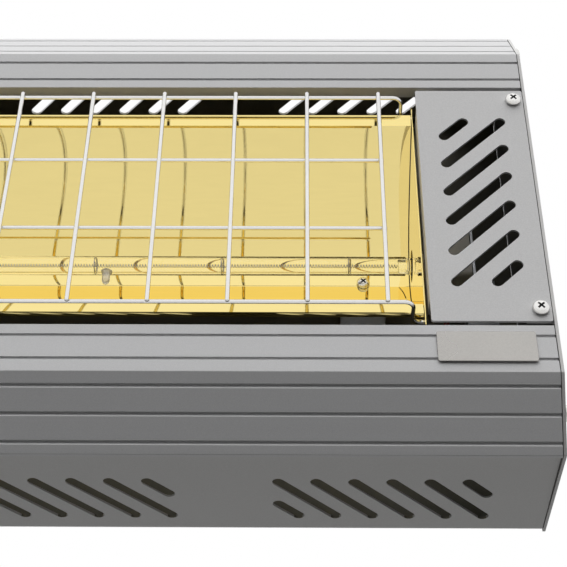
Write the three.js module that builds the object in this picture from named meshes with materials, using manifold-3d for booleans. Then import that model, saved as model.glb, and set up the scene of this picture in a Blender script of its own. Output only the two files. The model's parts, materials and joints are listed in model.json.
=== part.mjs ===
// Wall-hung infrared heater: one quartz lamp in a gold trough reflector, behind a wire guard,
// in a ribbed aluminium housing that tilts on a steel wall bracket.
// Millimetres. +Z is up, +X runs along the housing and the front faces -Y.
// The origin is the centre of the wall plate's rear face, so the wall is the plane y = 0.
import * as THREE from 'three';
import { mergeVertices } from 'three/addons/utils/BufferGeometryUtils.js';
import Module from 'manifold-3d';

// ---------------------------------------------------------------- driving dimensions

const SEAT_GAP = 0.3; // between two pieces that rest on each other

// housing: its size follows from the lamp and the reflector inside it
const END_SPACE = 29.9; // behind each lamp holder, for the wiring
const BACK_SPACE = 18.8; // behind the reflector
const WINDOW_MARGIN = 6.3; // from the reflector's cheeks to the window's edge
const FACE_BAND = 25.9; // flat front face, from the window's edge to the bend
const SLOPE_LENGTH = 36.9;
const SLOPE_ANGLE = THREE.MathUtils.degToRad(29); // between the slope and the front face
const RAIL_WALL = 2;
const RAIL_RETURN = 7; // how far the window edge turns in
const RAIL_BEAD = 2; // flat behind the slope, before the casing starts
const RAIL_LEG = 10; // tongue under the casing
const GROOVE_WIDTH = 1.1;
const GROOVE_DEPTH = 0.8;
const FACE_GROOVES = [6.2, 19]; // from the window edge
const SLOPE_GROOVES = [6.2, 18.8, 31.4]; // from the bend
const SCREW_PORT_AT = 18; // along the slope from the bend
const SCREW_PORT_CLEARANCE = 0.4; // round the screw's shank
const SCREW_PORT_WALL = 1.6;
const CASING_WALL = 1.5;
const CASING_BEND = 3;
const END_PLATE_WALL = 1.5;

// slanted air slots: the runs go from one end's centre to the other's, across and along
const SLOT_RADIUS = 2.8;
const CASING_SLOT_RUN = [26.7, 29.2];
const COVER_SLOT_RUN = [29.3, 29.3];
const SHORT_SLOT = 0.35; // of a long slot's run
const LONG_SLOTS = 5; // in each group, with a short one at either end
const CASING_SLOT_PITCH = 17.3;
const CASING_SLOT_SETBACK = 40.1; // from the slope's rear edge to the middle of the slots
const CASING_SLOT_GROUPS = 3;
const CASING_GROUP_SHIFT = -1.1; // of all groups, off the housing's middle
const CASING_GROUP_INSET = 76.4; // from the casing's end to the middle of the last group
const COVER_SLOT_PITCH = 18.95;

// end covers and their screws
const COVER_TO_CHEEK = 1.2;
const COVER_TO_WINDOW = 2.4;
const COVER_WALL = 1.2;
const COVER_FLANGE = 13;
const COVER_FLANGE_INSET = 13.4; // from the cover's upper and lower edges
const COVER_SCREW_INSET = 5.1; // from the cover's outer edge
const COVER_SCREW_DROP = 7.2; // from its upper and lower edges
const COVER_TAB_WIDTH = 13;
const COVER_TAB_HEIGHT = 13;
const SCREW_SHANK = 1.9;
const SCREW_HEAD = 4;
const SCREW_HEAD_HEIGHT = 2.6;
const SCREW_LENGTH = 7;

// reflector: a parabola with the lamp on its focus
const FOCAL_LENGTH = 14.7;
const TROUGH_HALF_HEIGHT = 58.7;
const TROUGH_SETBACK = 9.1; // from the front face to the parabola's edges
const LIP_WIDTH = 6.7;
const LIP_RISE = 1.6; // the lip's outer edge stands forward of its inner edge
const LIP_HEM = 3;
const REFLECTOR_PAST_TUBE = 3;
const REFLECTOR_WALL = 0.8;
const CHEEK_PAST_LIP = 6.1;
const CHEEK_FRONT = 8; // behind the front face
const CHEEK_SHOULDER = 16; // depth of the cheek's full height
const CHEEK_PAST_VERTEX = 8;
const CHEEK_CLEARANCE = 2; // round the lamp's cap
const BRIDGE_INSET = 24.3; // from the reflector's end to each bridge and its screw
const BRIDGE_WIDTH = 24;
const BRIDGE_HALF_HEIGHT = 16;
const BRIDGE_FOOT = 12;
const BRIDGE_WALL = 1.5;
const REFLECTOR_SCREW_HEAD = 3.5;

// lamp
const TUBE_RADIUS = 5;
const TUBE_WALL = 1;
const TUBE_HALF_LENGTH = 161.7;
const TIP_OFF_AT = 6.7;
const TIP_OFF_RADIUS = 1.6;
const TIP_OFF_LENGTH = 4.5;
const FILAMENT_RADIUS = 1.3;
const FILAMENT_SUPPORT_CLEARANCE = 0.5; // in the tube's bore
const FILAMENT_SUPPORT_PITCH = 65.8;
const FILAMENT_SUPPORT_WIDTH = 1.2;
const PINCH_PLUG = 4.5;
const PINCH_LENGTH = 9.5;
const PINCH_HEIGHT = 9;
const PINCH_THICKNESS = 3;
const CAP_RADIUS = 6.5;
const CAP_LENGTH = 11;
const CAP_OVERLAP = 3; // over the pinch
const HOLDER_LENGTH = 20;
const HOLDER_DEPTH = 24;
const HOLDER_HEIGHT = 30;
const HOLDER_RECESS = 5;
const HOLDER_CORNER = 3;
const HOLDER_BRACKET_WALL = 1.5;
const HOLDER_BRACKET_FOOT = 18;

// wire guard
const GUARD_PITCH = 36.8;
const GUARD_WIRE_RADIUS = 1.1;
const GUARD_RAIL_RADIUS = 1;
const GUARD_PAST_LIP = 1.5; // outer rails, from the reflector's lips
const GUARD_RAIL_STAND = 3; // rails in front of the front face
const GUARD_WELD_GAP = 0.1;
const GUARD_OVERHANG = 1.5; // past the outer rails and wires
const GUARD_LEG_INSET = 5.4; // from the reflector's end
const GUARD_LEG_REACH = 12; // behind the front face
const GUARD_HOOK_PAST_CHEEK = 0.8;
const GUARD_BEND = 3.2;
const GUARD_HOOK_CLEARANCE = 0.6;

// blank badge
const BADGE_WIDTH = 45;
const BADGE_HEIGHT = 16.4;
const BADGE_THICKNESS = 1;
const BADGE_FROM_END = 33.3; // middle of the badge
const BADGE_BELOW_WINDOW = 12.5;
const BADGE_CORNER = 1.2;

// wiring
const TERMINAL_WAYS = 3;
const TERMINAL_PITCH = 13;
const TERMINAL_HEIGHT = 18;
const TERMINAL_DEPTH = 16;
const TERMINAL_FROM_END = 34; // middle of the block
const TERMINAL_Z = -69;
const TERMINAL_SCREW = 2.6;
const LEAD_RADIUS = 1.5;
const LEAD_BEND = 8;
const LEAD_RUN = 15; // from the lamp holders' backs to the leads' plane
const GLAND_FROM_END = 76;
const GLAND_RISE = 35.7; // above the casing's lower panel
const GLAND_RADIUS = 8;
const GLAND_BORE = 4;
const GLAND_NUT_RADIUS = 11;
const GLAND_NUT_LENGTH = 3;
const GLAND_BODY_LENGTH = 6;
const GLAND_NOSE_LENGTH = 8;

// wall bracket and tilt pivot
const PIVOT_TO_WALL = 66;
const PIVOT_TO_CASING = 20;
const BRACKET_WALL = 3;
const BRACKET_INNER_HALF_WIDTH = 101.3;
const BRACKET_HALF_HEIGHT = 32;
const BRACKET_EAR_RADIUS = 14;
const WALL_HOLE_RADIUS = 3.3;
const WALL_HOLE_X = 70;
const WALL_HOLE_Z = 20;
const PIVOT_BOLT_RADIUS = 4;
const PIVOT_CLEARANCE = 0.4;
const PIVOT_HEX_RADIUS = 7.5;
const PIVOT_HEAD_LENGTH = 5.3;
const PIVOT_NUT_LENGTH = 8;
const PIVOT_BOLT_TAIL = 2.2;
const WASHER_RADIUS = 10;
const WASHER_THICKNESS = 1.2;
const LUG_WALL = 3;
const LUG_EAR_RADIUS = 12;
const LUG_HALF_HEIGHT = 25;
const LUG_FOOT = 23.5;

// facets
const ROUND = 24;
const WIRE_SIDES = 8;
const ARC_STEPS = 3; // quarter circles of slots and corners
const EAR_STEPS = 8; // rounded ears of the lugs and the wall bracket
const PARABOLA_STEPS = 28;

// ---------------------------------------------------------------- derived places

// Inside the head, y is the distance behind the front face.
// Along x: the lamp, then the reflector round it, then the housing's ends.
const REFLECTOR_HALF_LENGTH = TUBE_HALF_LENGTH + REFLECTOR_PAST_TUBE;
const CHEEK_INNER = REFLECTOR_HALF_LENGTH + SEAT_GAP;
const CHEEK_OUTER = CHEEK_INNER + REFLECTOR_WALL;
const PINCH_START = TUBE_HALF_LENGTH + SEAT_GAP;
const CAP_START = PINCH_START + PINCH_LENGTH - CAP_OVERLAP;
const HOLDER_START = CAP_START + CAP_LENGTH - HOLDER_RECESS;
const HOLDER_END = HOLDER_START + HOLDER_LENGTH;
const HALF_LENGTH = HOLDER_END + END_SPACE;
const FRAME_HALF_LENGTH = HALF_LENGTH - END_PLATE_WALL - SEAT_GAP; // rails and casing
const COVER_INNER = CHEEK_OUTER + COVER_TO_CHEEK;
const COVER_OUTER = FRAME_HALF_LENGTH;
const COVER_WIDTH = COVER_OUTER - COVER_INNER;
const COVER_MIDDLE = (COVER_OUTER + COVER_INNER) / 2;
const COVER_SCREW_X = COVER_OUTER - COVER_SCREW_INSET;
const BRIDGE_OFFSET = REFLECTOR_HALF_LENGTH - BRIDGE_INSET;
const GUARD_LEG_AT = REFLECTOR_HALF_LENGTH - GUARD_LEG_INSET;
const GUARD_HOOK_END = CHEEK_OUTER + GUARD_HOOK_PAST_CHEEK;
const TERMINAL_X = HALF_LENGTH - TERMINAL_FROM_END;
const GLAND_X = HALF_LENGTH - GLAND_FROM_END;

// Along z: the trough, its lips and cheeks, then the window and the face round it.
const LIP_HALF_HEIGHT = TROUGH_HALF_HEIGHT + LIP_WIDTH;
const CHEEK_HALF_HEIGHT = LIP_HALF_HEIGHT + CHEEK_PAST_LIP;
const GUARD_RAIL_HEIGHT = LIP_HALF_HEIGHT + GUARD_PAST_LIP;
const WINDOW_HALF_HEIGHT = CHEEK_HALF_HEIGHT + WINDOW_MARGIN;
const FACE_HALF_HEIGHT = WINDOW_HALF_HEIGHT + FACE_BAND;
const COVER_HALF_HEIGHT = WINDOW_HALF_HEIGHT - COVER_TO_WINDOW;
const COVER_FLANGE_HALF_HEIGHT = COVER_HALF_HEIGHT - COVER_FLANGE_INSET;
const COVER_SCREW_HEIGHT = COVER_HALF_HEIGHT - COVER_SCREW_DROP;

// Along y: the parabola sets the lamp's place and the housing's depth.
const VERTEX_DEPTH = TROUGH_SETBACK + TROUGH_HALF_HEIGHT ** 2 / (4 * FOCAL_LENGTH);
const LAMP_SETBACK = VERTEX_DEPTH - FOCAL_LENGTH;
const HOUSING_DEPTH = VERTEX_DEPTH + BACK_SPACE;
const CHEEK_REAR = VERTEX_DEPTH + CHEEK_PAST_VERTEX;
const BRIDGE_WEB = VERTEX_DEPTH + REFLECTOR_WALL + SEAT_GAP;
const HOLDER_REAR = LAMP_SETBACK + HOLDER_DEPTH / 2;
const LEAD_SETBACK = HOLDER_REAR + LEAD_RUN;

const SLOPE = new THREE.Vector2(Math.sin(SLOPE_ANGLE), Math.cos(SLOPE_ANGLE)); // (depth, height)
const SLOPE_INWARD = new THREE.Vector2(SLOPE.y, -SLOPE.x);
const SLOPE_DEPTH = SLOPE_LENGTH * SLOPE.x;
const HALF_HEIGHT = FACE_HALF_HEIGHT + SLOPE_LENGTH * SLOPE.y;
const CASING_FRONT = SLOPE_DEPTH + RAIL_BEAD + SEAT_GAP;
const CASING_HALF_HEIGHT = HALF_HEIGHT - SEAT_GAP;
const CASING_FLOOR = HOUSING_DEPTH - CASING_WALL; // inner face of the back
const GLAND_Z = GLAND_RISE - CASING_HALF_HEIGHT;
const SCREW_HOLE = SCREW_SHANK + SEAT_GAP;
const SCREW_PORT_BORE = SCREW_SHANK + SCREW_PORT_CLEARANCE;
const SCREW_PORT = new THREE.Vector2(0, FACE_HALF_HEIGHT)
	.addScaledVector(SLOPE, SCREW_PORT_AT)
	.addScaledVector(SLOPE_INWARD, RAIL_WALL + SCREW_PORT_BORE + SCREW_PORT_WALL / 2);
const CASING_GROUP_OFFSET = FRAME_HALF_LENGTH - CASING_GROUP_INSET;
const FILAMENT_HALF_LENGTH = TUBE_HALF_LENGTH - PINCH_PLUG - SEAT_GAP;
const FILAMENT_SUPPORT_RADIUS = TUBE_RADIUS - TUBE_WALL - FILAMENT_SUPPORT_CLEARANCE;
const FILAMENT_SUPPORT_PAIRS = Math.floor((FILAMENT_HALF_LENGTH - PINCH_PLUG) / FILAMENT_SUPPORT_PITCH);
const GUARD_WIRE_PAIRS = Math.floor((GUARD_LEG_AT - GUARD_BEND - GUARD_OVERHANG) / GUARD_PITCH);
const TERMINAL_LENGTH = TERMINAL_WAYS * TERMINAL_PITCH;
const STANDOFF = PIVOT_TO_WALL + PIVOT_TO_CASING;
const PIVOT_DEPTH = HOUSING_DEPTH + PIVOT_TO_CASING;
const WASHER_OUTER = BRACKET_INNER_HALF_WIDTH - SEAT_GAP;
const LUG_OUTER = WASHER_OUTER - WASHER_THICKNESS - SEAT_GAP;
const BRACKET_OUTER = BRACKET_INNER_HALF_WIDTH + BRACKET_WALL;

// ---------------------------------------------------------------- materials

const finish = (color, roughness, metalness) =>
	new THREE.MeshStandardMaterial({ color, roughness, metalness });

const paint = finish(0x8e8f91, 0.45, 0.5);
const coverPaint = finish(0xa3a4a6, 0.45, 0.5);
const gold = finish(0xe0bd55, 0.12, 1);
const steel = finish(0xc9cacb, 0.25, 1);
const zinc = finish(0xb4b6b8, 0.4, 0.9);
const quartz = finish(0xf2e6c4, 0.05, 0);
const tungsten = finish(0x5b5450, 0.5, 0.8);
const ceramic = finish(0xe8e2d4, 0.7, 0);
const badgeMetal = finish(0xa9a8a6, 0.35, 0.8);
const blackPlastic = finish(0x1d1d1f, 0.6, 0);
const silicone = finish(0x7c2a1f, 0.6, 0);
const bracketPaint = finish(0x6f7072, 0.5, 0.4);

// ---------------------------------------------------------------- shaping helpers

const wasm = await Module();
wasm.setup();

function toSolid(geometry) {
	const bare = geometry.clone();
	bare.deleteAttribute('normal');
	bare.deleteAttribute('uv');
	const merged = mergeVertices(bare);
	return new wasm.Manifold(new wasm.Mesh({
		numProp: 3,
		vertProperties: Float32Array.from(merged.attributes.position.array),
		triVerts: Uint32Array.from(merged.index.array),
	}));
}

function toGeometry(solid) {
	const mesh = solid.getMesh();
	const geometry = new THREE.BufferGeometry();
	geometry.setAttribute('position', new THREE.BufferAttribute(mesh.vertProperties, 3));
	geometry.setIndex(new THREE.BufferAttribute(mesh.triVerts, 1));
	geometry.computeVertexNormals();
	return geometry;
}

function join(base, ...additions) {
	return toGeometry(additions.reduce((solid, piece) => solid.add(toSolid(piece)), toSolid(base)));
}

function cut(base, ...cutters) {
	return toGeometry(cutters.reduce((solid, piece) => solid.subtract(toSolid(piece)), toSolid(base)));
}

function common(first, second) {
	return toGeometry(toSolid(first).intersect(toSolid(second)));
}

function extrude(shape, depth, curveSegments = ARC_STEPS) {
	return new THREE.ExtrudeGeometry(shape, { depth, bevelEnabled: false, curveSegments });
}

// A section drawn in (y, z) and run along x, centred on x = 0.
const SECTION_BASIS = new THREE.Matrix4().makeBasis(
	new THREE.Vector3(0, 1, 0), new THREE.Vector3(0, 0, 1), new THREE.Vector3(1, 0, 0));

function alongX(shape, length, arcSteps = ARC_STEPS) {
	return extrude(shape, length, arcSteps).translate(0, 0, -length / 2).applyMatrix4(SECTION_BASIS);
}

// A plate drawn in (x, z) whose front is at y = 0 and whose thickness runs to +y.
const PLATE_BASIS = new THREE.Matrix4().makeBasis(
	new THREE.Vector3(1, 0, 0), new THREE.Vector3(0, 0, 1), new THREE.Vector3(0, -1, 0));

function facePlate(shape, thickness) {
	return extrude(shape, thickness).applyMatrix4(PLATE_BASIS).translate(0, thickness, 0);
}

function outline(points) {
	return new THREE.Shape(points.map(([x, y]) => new THREE.Vector2(x, y)));
}

function roundedBox(halfWidth, halfHeight, radius) {
	const shape = new THREE.Shape();
	shape.absarc(halfWidth - radius, halfHeight - radius, radius, 0, Math.PI / 2);
	shape.absarc(-halfWidth + radius, halfHeight - radius, radius, Math.PI / 2, Math.PI);
	shape.absarc(-halfWidth + radius, -halfHeight + radius, radius, Math.PI, 1.5 * Math.PI);
	shape.absarc(halfWidth - radius, -halfHeight + radius, radius, 1.5 * Math.PI, 2 * Math.PI);
	return shape;
}

function block(xRange, yRange, zRange) {
	const size = [xRange, yRange, zRange].map(([low, high]) => high - low);
	const middle = [xRange, yRange, zRange].map(([low, high]) => (high + low) / 2);
	return new THREE.BoxGeometry(...size).translate(...middle);
}

// A rod along x from one place to another, around (y, z).
function rodX(radius, from, to, y = 0, z = 0, sides = ROUND) {
	return new THREE.CylinderGeometry(radius, radius, to - from, sides)
		.rotateZ(-Math.PI / 2).translate((from + to) / 2, y, z);
}

// A rod along y, around (x, z).
function rodY(radius, from, to, x = 0, z = 0, sides = ROUND) {
	return new THREE.CylinderGeometry(radius, radius, to - from, sides)
		.translate(0, (from + to) / 2, 0).translate(x, 0, z);
}

// A round-ended slot from one end centre to the other, as a shape or a hole.
function slot(start, end, radius = SLOT_RADIUS) {
	const heading = end.clone().sub(start).angle();
	const shape = new THREE.Shape();
	shape.absarc(end.x, end.y, radius, heading - Math.PI / 2, heading + Math.PI / 2);
	shape.absarc(start.x, start.y, radius, heading + Math.PI / 2, heading + 1.5 * Math.PI);
	return shape;
}

// The group of slanted slots: long ones a pitch apart and a short one at either end.
// step says which way the group runs: along x on the casing, along y on a cover.
function slotGroup(step, run) {
	const heading = new THREE.Vector2(...run);
	const reach = (LONG_SLOTS - 1) / 2;
	const longEnds = (count) => {
		const middle = step.clone().multiplyScalar(count);
		return [middle.clone().addScaledVector(heading, -0.5), middle.clone().addScaledVector(heading, 0.5)];
	};
	const slots = [];
	for (let count = -reach; count <= reach; count += 1) slots.push(slot(...longEnds(count)));
	const [lastStart] = longEnds(reach + 1);
	const [, firstEnd] = longEnds(-reach - 1);
	slots.push(slot(lastStart, lastStart.clone().addScaledVector(heading, SHORT_SLOT)));
	slots.push(slot(firstEnd.clone().addScaledVector(heading, -SHORT_SLOT), firstEnd));
	return slots;
}

// A path of straight runs with round bends, sampled only where it bends.
class WirePath extends THREE.Curve {
	constructor(corners, bend) {
		super();
		this.stops = [corners[0]];
		for (let i = 1; i < corners.length - 1; i += 1) this.addBend(...corners.slice(i - 1, i + 2), bend);
		this.stops.push(corners.at(-1));
	}

	addBend(before, corner, after, bend) {
		const arrive = corner.clone().sub(before).normalize();
		const leave = after.clone().sub(corner).normalize();
		const turn = arrive.angleTo(leave);
		const setback = bend * Math.tan(turn / 2);
		const start = corner.clone().addScaledVector(arrive, -setback);
		const toCentre = leave.clone().addScaledVector(arrive, -leave.dot(arrive)).normalize();
		const centre = start.clone().addScaledVector(toCentre, bend);
		const steps = 2 * ARC_STEPS;
		for (let i = 0; i <= steps; i += 1) {
			const angle = (turn * i) / steps;
			this.stops.push(centre.clone()
				.addScaledVector(toCentre, -bend * Math.cos(angle))
				.addScaledVector(arrive, bend * Math.sin(angle)));
		}
	}

	getPoint(t) {
		return this.stops[Math.round(t * (this.stops.length - 1))].clone();
	}

	getPointAt(u) {
		return this.getPoint(u);
	}

	getSpacedPoints() {
		return this.stops.map((stop) => stop.clone());
	}

	getTangentAt(u) {
		const at = Math.round(u * (this.stops.length - 1));
		const before = this.stops[Math.max(at - 1, 0)];
		const here = this.stops[at];
		const after = this.stops[Math.min(at + 1, this.stops.length - 1)];
		const arrive = here.clone().sub(before).normalize();
		const leave = after.clone().sub(here).normalize();
		return arrive.add(leave).normalize();
	}
}

function bentWire(corners, radius, bend) {
	const path = new WirePath(corners.map((corner) => new THREE.Vector3(...corner)), bend);
	const section = new THREE.Shape();
	for (let i = 0; i < WIRE_SIDES; i += 1) {
		const angle = (2 * Math.PI * i) / WIRE_SIDES;
		const point = [radius * Math.cos(angle), radius * Math.sin(angle)];
		if (i === 0) section.moveTo(...point);
		else section.lineTo(...point);
	}
	const steps = path.stops.length - 1;
	return new THREE.ExtrudeGeometry(section, { steps, extrudePath: path });
}

function place(parent, name, geometry, material, position = [0, 0, 0]) {
	const mesh = new THREE.Mesh(geometry, material);
	mesh.name = name;
	mesh.position.set(...position);
	parent.add(mesh);
	return mesh;
}

const SIDES = [['left', -1], ['right', 1]];

// ---------------------------------------------------------------- assembly groups

const heater = new THREE.Group();
const head = new THREE.Group(); // everything that tilts
head.position.y = -STANDOFF - HOUSING_DEPTH;
heater.add(head);

// ---------------------------------------------------------------- housing

// The upper rail's section: window return, grooved face and slope, bead and tongue.
function railSection() {
	const points = [[RAIL_RETURN, WINDOW_HALF_HEIGHT], [0, WINDOW_HALF_HEIGHT]];
	const groove = (start, along, inward, distance) => {
		const steps = [[-1, 0], [-1, 1], [1, 1], [1, 0]];
		for (const [side, depth] of steps) {
			const point = start.clone()
				.addScaledVector(along, distance + (side * GROOVE_WIDTH) / 2)
				.addScaledVector(inward, depth * GROOVE_DEPTH);
			points.push([point.x, point.y]);
		}
	};
	const windowEdge = new THREE.Vector2(0, WINDOW_HALF_HEIGHT);
	const bend = new THREE.Vector2(0, FACE_HALF_HEIGHT);
	const up = new THREE.Vector2(0, 1);
	const inward = new THREE.Vector2(1, 0);
	for (const distance of FACE_GROOVES) groove(windowEdge, up, inward, distance);
	points.push([0, FACE_HALF_HEIGHT]);
	for (const distance of SLOPE_GROOVES) groove(bend, SLOPE, SLOPE_INWARD, distance);

	const legTop = CASING_HALF_HEIGHT - CASING_WALL - SEAT_GAP;
	const legBottom = legTop - RAIL_WALL;
	const innerBend = bend.clone().addScaledVector(SLOPE_INWARD, RAIL_WALL);
	const onInnerSlope = (distance) => innerBend.clone().addScaledVector(SLOPE, distance);
	const innerTop = onInnerSlope((legBottom - innerBend.y) / SLOPE.y);
	const innerFace = onInnerSlope((RAIL_WALL - innerBend.x) / SLOPE.x);
	points.push(
		[SLOPE_DEPTH, HALF_HEIGHT],
		[SLOPE_DEPTH + RAIL_BEAD, HALF_HEIGHT],
		[SLOPE_DEPTH + RAIL_BEAD, legTop],
		[SLOPE_DEPTH + RAIL_LEG, legTop],
		[SLOPE_DEPTH + RAIL_LEG, legBottom],
		[innerTop.x, innerTop.y],
		[innerFace.x, innerFace.y],
		[RAIL_WALL, WINDOW_HALF_HEIGHT + RAIL_WALL],
		[RAIL_RETURN, WINDOW_HALF_HEIGHT + RAIL_WALL],
	);
	return outline(points);
}

function frontRail() {
	const length = 2 * FRAME_HALF_LENGTH;
	const port = rodX(SCREW_PORT_BORE + SCREW_PORT_WALL, -length / 2, length / 2,
		SCREW_PORT.x, SCREW_PORT.y, 12);
	const bore = rodX(SCREW_PORT_BORE, -length, length, SCREW_PORT.x, SCREW_PORT.y, 12);
	return cut(join(alongX(railSection(), length), port), bore);
}

place(head, 'upper_front_rail', frontRail(), paint);
place(head, 'lower_front_rail', frontRail(), paint).rotation.y = Math.PI;

// The folded casing: two slotted panels and the back, in one sheet.
function casingSection() {
	const outer = CASING_HALF_HEIGHT;
	const inner = outer - CASING_WALL;
	const bend = CASING_BEND;
	const shape = new THREE.Shape();
	shape.moveTo(CASING_FRONT, -outer);
	shape.absarc(HOUSING_DEPTH - bend, -outer + bend, bend, -Math.PI / 2, 0);
	shape.absarc(HOUSING_DEPTH - bend, outer - bend, bend, 0, Math.PI / 2);
	shape.lineTo(CASING_FRONT, outer);
	shape.lineTo(CASING_FRONT, inner);
	shape.lineTo(CASING_FLOOR, inner);
	shape.lineTo(CASING_FLOOR, -inner);
	shape.lineTo(CASING_FRONT, -inner);
	return shape;
}

function casingSlots() {
	const cutters = [];
	const step = new THREE.Vector2(CASING_SLOT_PITCH, 0);
	const depth = SLOPE_DEPTH + CASING_SLOT_SETBACK;
	for (let group = 0; group < CASING_SLOT_GROUPS; group += 1) {
		const middle = CASING_GROUP_SHIFT + CASING_GROUP_OFFSET * ((2 * group) / (CASING_SLOT_GROUPS - 1) - 1);
		for (const shape of slotGroup(step, CASING_SLOT_RUN)) {
			const lower = extrude(shape, 4 * CASING_WALL)
				.translate(0, depth, -CASING_HALF_HEIGHT - CASING_WALL);
			const upper = lower.clone().rotateY(Math.PI);
			cutters.push(lower.translate(middle, 0, 0), upper.translate(middle, 0, 0));
		}
	}
	return cutters;
}

const casingSheet = alongX(casingSection(), 2 * FRAME_HALF_LENGTH);
const glandHole = rodY(GLAND_RADIUS + SEAT_GAP, CASING_FLOOR - CASING_WALL, HOUSING_DEPTH + CASING_WALL,
	GLAND_X, GLAND_Z);
place(head, 'rear_casing', cut(casingSheet, ...casingSlots(), glandHole), paint);

// End plate for the right end: the housing's outline with two tabs for the cover's screws.
function endPlate() {
	const shape = outline([
		[0, -FACE_HALF_HEIGHT], [SLOPE_DEPTH, -HALF_HEIGHT], [HOUSING_DEPTH, -HALF_HEIGHT],
		[HOUSING_DEPTH, HALF_HEIGHT], [SLOPE_DEPTH, HALF_HEIGHT], [0, FACE_HALF_HEIGHT],
	]);
	const plate = alongX(shape, END_PLATE_WALL).translate(HALF_LENGTH - END_PLATE_WALL / 2, 0, 0);
	const tabFront = COVER_WALL + SEAT_GAP;
	const tabs = [-1, 1].map((side) => block(
		[HALF_LENGTH - END_PLATE_WALL / 2 - COVER_TAB_WIDTH, HALF_LENGTH - END_PLATE_WALL / 2],
		[tabFront, tabFront + END_PLATE_WALL],
		[side * COVER_SCREW_HEIGHT - COVER_TAB_HEIGHT / 2, side * COVER_SCREW_HEIGHT + COVER_TAB_HEIGHT / 2]));
	const holes = [];
	for (const side of [-1, 1]) {
		holes.push(rodY(SCREW_HOLE, 0, 3 * tabFront, COVER_SCREW_X, side * COVER_SCREW_HEIGHT, 12));
		holes.push(rodX(SCREW_HOLE, HALF_LENGTH - 2 * END_PLATE_WALL, HALF_LENGTH + END_PLATE_WALL,
			SCREW_PORT.x, side * SCREW_PORT.y, 12));
	}
	return cut(join(plate, ...tabs), ...holes);
}

// End cover: slotted plate with a flange along its inner edge.
function endCover() {
	const shape = roundedBox(COVER_WIDTH / 2, COVER_HALF_HEIGHT, 1);
	shape.holes.push(...slotGroup(new THREE.Vector2(0, COVER_SLOT_PITCH), COVER_SLOT_RUN));
	const plate = facePlate(shape, COVER_WALL);
	const flange = block(
		[-COVER_WIDTH / 2, -COVER_WIDTH / 2 + COVER_WALL],
		[COVER_WALL / 2, COVER_FLANGE],
		[-COVER_FLANGE_HALF_HEIGHT, COVER_FLANGE_HALF_HEIGHT]);
	const holes = [-1, 1].map((side) => rodY(SCREW_HOLE, -COVER_WALL, 2 * COVER_WALL,
		COVER_SCREW_X - COVER_MIDDLE, side * COVER_SCREW_HEIGHT, 12));
	return cut(join(plate, flange), ...holes);
}

// Pan-head screw along +y: the head's underside is at y = 0.
function panScrew(headRadius = SCREW_HEAD) {
	const profile = [
		[0, -SCREW_HEAD_HEIGHT], [headRadius * 0.45, -SCREW_HEAD_HEIGHT],
		[headRadius * 0.8, -SCREW_HEAD_HEIGHT * 0.8], [headRadius * 0.97, -SCREW_HEAD_HEIGHT * 0.45],
		[headRadius, -SCREW_HEAD_HEIGHT * 0.15], [headRadius, 0],
		[SCREW_SHANK, 0], [SCREW_SHANK, SCREW_LENGTH], [0, SCREW_LENGTH],
	];
	return new THREE.LatheGeometry(profile.map(([x, y]) => new THREE.Vector2(x, y)), 16);
}

for (const [side, sign] of SIDES) {
	// The left-hand plate, cover and screws are the right-hand ones turned half round.
	const turn = sign > 0 ? 0 : Math.PI;
	place(head, `end_plate_${side}`, endPlate(), paint).rotation.y = turn;
	place(head, `end_cover_${side}`, endCover(), coverPaint, [sign * COVER_MIDDLE, 0, 0]).rotation.y = turn;
	for (const [level, up] of [['upper', 1], ['lower', -1]]) {
		place(head, `cover_screw_${side}_${level}`, panScrew(), steel,
			[sign * COVER_SCREW_X, -SEAT_GAP, up * COVER_SCREW_HEIGHT]);
		place(head, `end_screw_${side}_${level}`, panScrew(), steel,
			[sign * (HALF_LENGTH + SEAT_GAP), SCREW_PORT.x, up * SCREW_PORT.y]).rotation.z = sign * Math.PI / 2;
	}
}

// ---------------------------------------------------------------- reflector

const parabolaDepth = (z) => VERTEX_DEPTH - (z * z) / (4 * FOCAL_LENGTH);

// Trough section: a parabola between two forward-facing lips, each with a hem turned back.
function reflectorSection() {
	const lipInner = parabolaDepth(TROUGH_HALF_HEIGHT);
	const lipOuter = lipInner - LIP_RISE;
	const front = [[lipOuter + LIP_HEM, -LIP_HALF_HEIGHT], [lipOuter, -LIP_HALF_HEIGHT]];
	const back = [];
	for (let i = 0; i <= PARABOLA_STEPS; i += 1) {
		const z = TROUGH_HALF_HEIGHT * ((2 * i) / PARABOLA_STEPS - 1);
		const slope = z / (2 * FOCAL_LENGTH);
		const scale = REFLECTOR_WALL / Math.hypot(1, slope);
		front.push([parabolaDepth(z), z]);
		back.push([parabolaDepth(z) + scale, z + slope * scale]);
	}
	front.push([lipOuter, LIP_HALF_HEIGHT], [lipOuter + LIP_HEM, LIP_HALF_HEIGHT]);
	const hem = LIP_HALF_HEIGHT - REFLECTOR_WALL;
	const lipBack = lipOuter + REFLECTOR_WALL;
	back[0] = [lipInner + REFLECTOR_WALL, back[0][1]];
	back[PARABOLA_STEPS] = [lipInner + REFLECTOR_WALL, back[PARABOLA_STEPS][1]];
	return outline([
		...front,
		[lipOuter + LIP_HEM, hem], [lipBack, hem],
		...back.reverse(),
		[lipBack, -hem], [lipOuter + LIP_HEM, -hem],
	]);
}

const trough = alongX(reflectorSection(), 2 * REFLECTOR_HALF_LENGTH);
const vertexHoles = SIDES.map(([, sign]) => rodY(SCREW_HOLE,
	VERTEX_DEPTH - 2, VERTEX_DEPTH + 2 * REFLECTOR_WALL, sign * BRIDGE_OFFSET, 0, 12));
place(head, 'reflector', cut(trough, ...vertexHoles), gold);

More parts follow.
